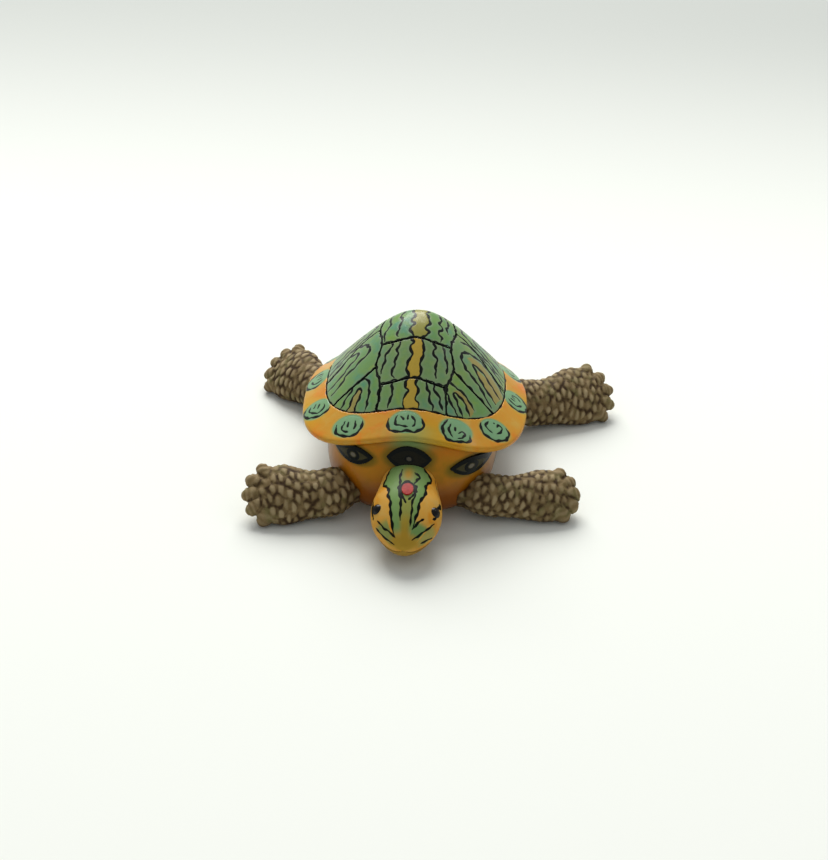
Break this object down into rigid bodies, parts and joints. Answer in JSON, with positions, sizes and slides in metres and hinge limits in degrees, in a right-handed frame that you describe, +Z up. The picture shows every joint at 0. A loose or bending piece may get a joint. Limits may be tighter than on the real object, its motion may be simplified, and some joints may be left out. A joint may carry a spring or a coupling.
{
  "type": "turtle figurine",
  "caption": "Glazed ceramic turtle with a domed lined shell, spotted flared rim, banded head and scaled paddle legs, resting on its belly and soles.",
  "frame": {"origin": "middle of the footprint box, on the surface the turtle stands on", "axes": "+Z up, the head points to -Y, the turtle's own left side is +X"},
  "size_m": [0.0948, 0.0876, 0.0377],
  "materials": {
    "green_glaze": "gloss, light and dark green with fine black-green lines",
    "teal_glaze": "gloss, blue-green with black-green lines",
    "black_glaze": "gloss, near black",
    "eye_glaze": "gloss, dark brown",
    "bisque": "matt, grey-brown clay with dark wash in the carved scales",
    "body_glaze": "gloss, amber",
    "rim_glaze": "gloss, orange to yellow",
    "seam_glaze": "gloss, black-green seams",
    "head_glaze": "gloss, amber with a green band",
    "red_glaze": "gloss, red"
  },
  "bodies": {
    "root": {"body": "body_glaze", "carapace": "seam_glaze", "chest_spot_left": "black_glaze", "chest_spot_middle": "black_glaze", "chest_spot_right": "black_glaze", "costal_scute_left_1": "green_glaze", "costal_scute_left_2": "green_glaze", "costal_scute_left_3": "green_glaze", "costal_scute_left_4": "green_glaze", "costal_scute_right_1": "green_glaze", "costal_scute_right_2": "green_glaze", "costal_scute_right_3": "green_glaze", "costal_scute_right_4": "green_glaze", "crown_spot": "red_glaze", "eye_left": "eye_glaze", "eye_right": "eye_glaze", "foreleg_left": "bisque", "foreleg_right": "bisque", "head": "head_glaze", "hindleg_left": "bisque", "hindleg_right": "bisque", "rim_spot_front": "teal_glaze", "rim_spot_left_1": "teal_glaze", "rim_spot_left_2": "teal_glaze", "rim_spot_left_3": "teal_glaze", "rim_spot_left_4": "teal_glaze", "rim_spot_left_5": "teal_glaze", "rim_spot_rear": "teal_glaze", "rim_spot_right_1": "teal_glaze", "rim_spot_right_2": "teal_glaze", "rim_spot_right_3": "teal_glaze", "rim_spot_right_4": "teal_glaze", "rim_spot_right_5": "teal_glaze", "shell_rim": "rim_glaze", "tail": "bisque", "vertebral_scute_1": "green_glaze", "vertebral_scute_2": "green_glaze", "vertebral_scute_3": "green_glaze", "vertebral_scute_4": "green_glaze", "vertebral_scute_5": "green_glaze"}
  },
  "joints": []
}
